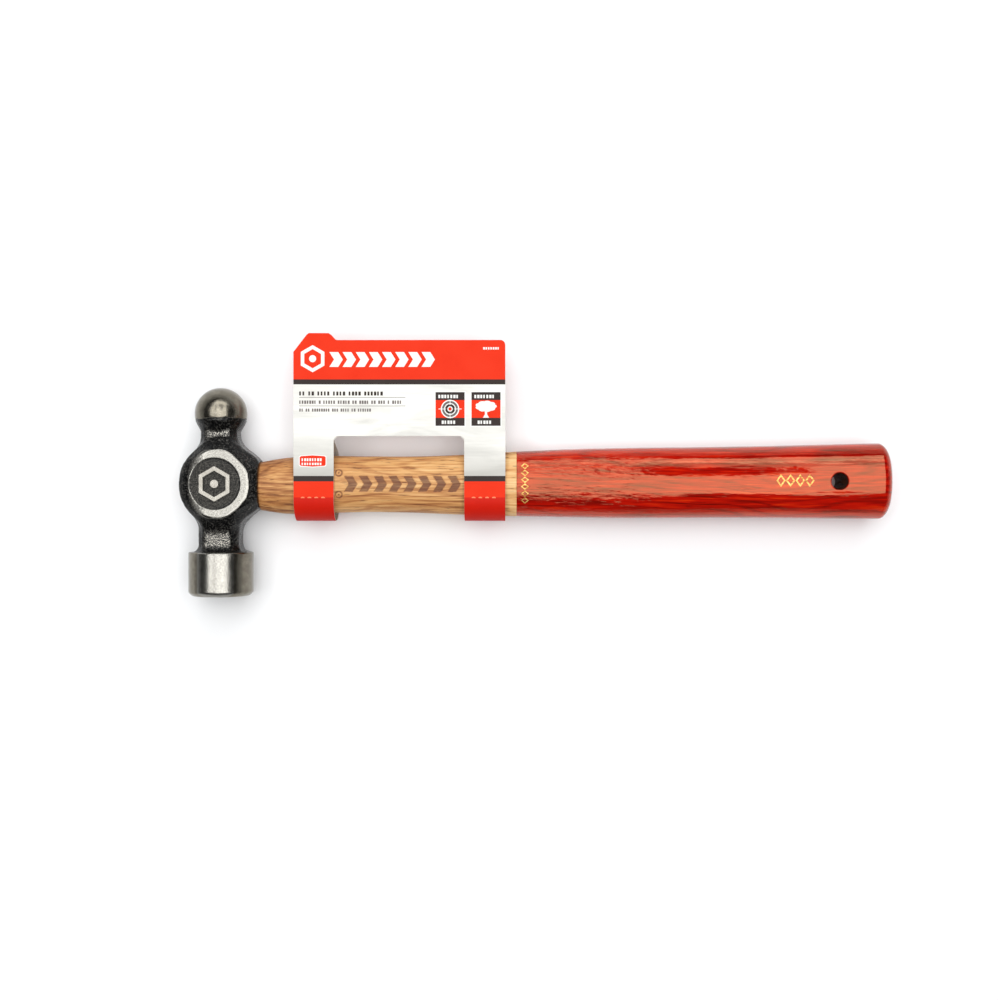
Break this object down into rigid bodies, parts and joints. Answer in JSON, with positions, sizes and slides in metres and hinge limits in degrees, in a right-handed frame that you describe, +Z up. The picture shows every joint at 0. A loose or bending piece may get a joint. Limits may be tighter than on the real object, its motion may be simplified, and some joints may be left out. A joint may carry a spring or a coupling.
{
  "type": "ball peen hammer",
  "caption": "Ball peen hammer with a forged steel head on a wedged hickory handle, its grip lacquered red, and a windowed board display card looped round the handle.",
  "frame": {"origin": "middle of the bounding box, on the surface the hammer lies on its side on", "axes": "+X along the handle from the head to the butt, +Y from the striking face to the ball, +Z up, out of the cheek that the card's printed side shares"},
  "size_m": [0.3438, 0.1272, 0.0312],
  "materials": {
    "forged_steel": "ground bright on the ball, striking face and cheek rims, black paint over forged scale elsewhere",
    "hickory": "bare clear-coated wood at the head end, glossy red lacquer over the grain on the grip",
    "wedge_wood": "bare end grain",
    "wedge_steel": "bright, as cut",
    "printed_board": "satin print"
  },
  "bodies": {
    "hammer": {"hammer_head": "forged_steel", "handle": "hickory", "wooden_wedge": "wedge_wood", "steel_wedge_ball_side": "wedge_steel", "steel_wedge_face_side": "wedge_steel"},
    "card": {"display_card": "printed_board"}
  },
  "joints": [
    {"name": "card_slide", "type": "slide", "parent": "hammer", "child": "card", "axis": [1, 0, 0], "range_m": [-0.017, 0.026]}
  ]
}
